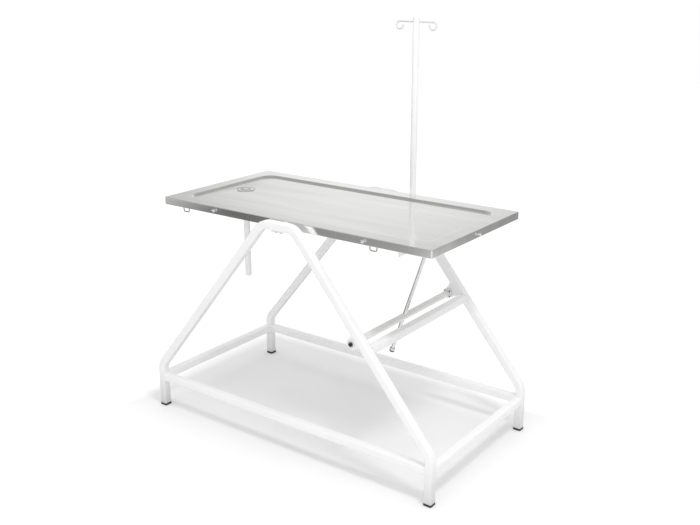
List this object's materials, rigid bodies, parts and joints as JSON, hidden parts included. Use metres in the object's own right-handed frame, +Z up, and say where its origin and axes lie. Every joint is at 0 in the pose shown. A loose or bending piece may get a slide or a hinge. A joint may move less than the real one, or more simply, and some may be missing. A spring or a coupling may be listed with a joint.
{
  "type": "veterinary surgery table",
  "caption": "Tilting veterinary surgery table: drained stainless top on bent A-frames, held by a rod through a locking trunnion, with tie-down studs, wire loops and a drip pole.",
  "frame": {"origin": "on the floor, under the middle of the whole table with its drip pole and clamp", "axes": "+X along the top towards the tilt rod, +Y towards the drip pole, +Z up"},
  "size_m": [1.302, 0.7492, 1.54],
  "materials": {
    "white_powder_coat": "smooth white powder coat",
    "stainless_sheet": "polished with fine lengthwise brushing",
    "chrome": "bright",
    "zinc_plated_steel": "zinc plated",
    "black_plastic": "moulded",
    "pale_plastic": "moulded"
  },
  "bodies": {
    "base": {"a_frame_front": "white_powder_coat", "a_frame_rear": "white_powder_coat", "rail_front": "white_powder_coat", "rail_rear": "white_powder_coat", "rail_left": "white_powder_coat", "rail_right": "white_powder_coat", "crossbar_right": "white_powder_coat", "foot_front_left": "black_plastic", "foot_front_right": "black_plastic", "foot_rear_left": "black_plastic", "foot_rear_right": "black_plastic", "pivot_axle_front": "zinc_plated_steel", "pivot_axle_rear": "zinc_plated_steel", "pivot_spacer_front": "pale_plastic", "pivot_spacer_rear": "pale_plastic", "saddle_plate_front": "zinc_plated_steel", "saddle_plate_rear": "zinc_plated_steel", "trunnion_lug_front": "white_powder_coat", "trunnion_lug_rear": "white_powder_coat", "pole_socket": "white_powder_coat"},
    "top": {"tray": "stainless_sheet", "under_rail_front": "white_powder_coat", "under_rail_rear": "white_powder_coat", "under_end_left": "white_powder_coat", "under_end_right": "white_powder_coat", "rod_beam": "white_powder_coat", "rod_clevis": "zinc_plated_steel", "clevis_pin": "zinc_plated_steel", "pivot_bush_front": "pale_plastic", "pivot_bush_rear": "pale_plastic", "drain_flange": "stainless_sheet", "drain_strainer": "chrome", "drain_nut": "pale_plastic", "drain_reducer": "pale_plastic", "drain_pipe": "pale_plastic", "tie_stud_front_left": "chrome", "tie_stud_front_right": "chrome", "tie_stud_rear_left": "chrome", "tie_stud_rear_right": "chrome", "tie_stud_left": "chrome", "tie_stud_right": "chrome", "tie_loop_front_left": "chrome", "tie_loop_front_right": "chrome", "tie_loop_rear_left": "chrome", "tie_loop_rear_right": "chrome"},
    "trunnion": {"trunnion_tube": "zinc_plated_steel", "trunnion_collar_front": "zinc_plated_steel", "trunnion_collar_rear": "zinc_plated_steel", "lock_insert": "zinc_plated_steel", "trunnion_plug": "black_plastic"},
    "rod": {"tilt_rod": "chrome", "rod_eye": "zinc_plated_steel", "rod_stop": "chrome"},
    "lock": {"lock_spindle": "zinc_plated_steel", "lock_knob": "black_plastic"},
    "pole": {"iv_pole": "white_powder_coat", "iv_cap": "pale_plastic", "iv_hooks": "chrome"},
    "grip": {"pole_grip": "black_plastic"}
  },
  "joints": [
    {"name": "tilt", "type": "hinge", "parent": "base", "child": "top", "pos_m": [0, -0.0286, 0.862], "axis": [0, 1, 0], "range_deg": [-18, 5]},
    {"name": "trunnion_turn", "type": "hinge", "parent": "base", "child": "trunnion", "pos_m": [0.308, -0.0286, 0.497], "axis": [0, 1, 0], "range_deg": [-6.5, 2]},
    {"name": "rod_slide", "type": "slide", "parent": "trunnion", "child": "rod", "axis": [0.3215, 0, 0.9469], "range_m": [-0.036, 0.127]},
    {"name": "lock_turn", "type": "hinge", "parent": "trunnion", "child": "lock", "pos_m": [0.308, -0.0286, 0.497], "axis": [0, -1, 0], "range_deg": [0, 360]},
    {"name": "pole_slide", "type": "slide", "parent": "base", "child": "pole", "axis": [0, 0, 1], "range_m": [0, 0.1]},
    {"name": "grip_turn", "type": "hinge", "parent": "base", "child": "grip", "pos_m": [0.107, 0.3325, 0.7472], "axis": [0, 1, 0], "range_deg": [0, 360]}
  ],
  "couplings": [
    {"joint": "trunnion_turn", "follows": "tilt", "ratio": 0.33},
    {"joint": "rod_slide", "follows": "tilt", "m_per_rad": -0.4}
  ]
}
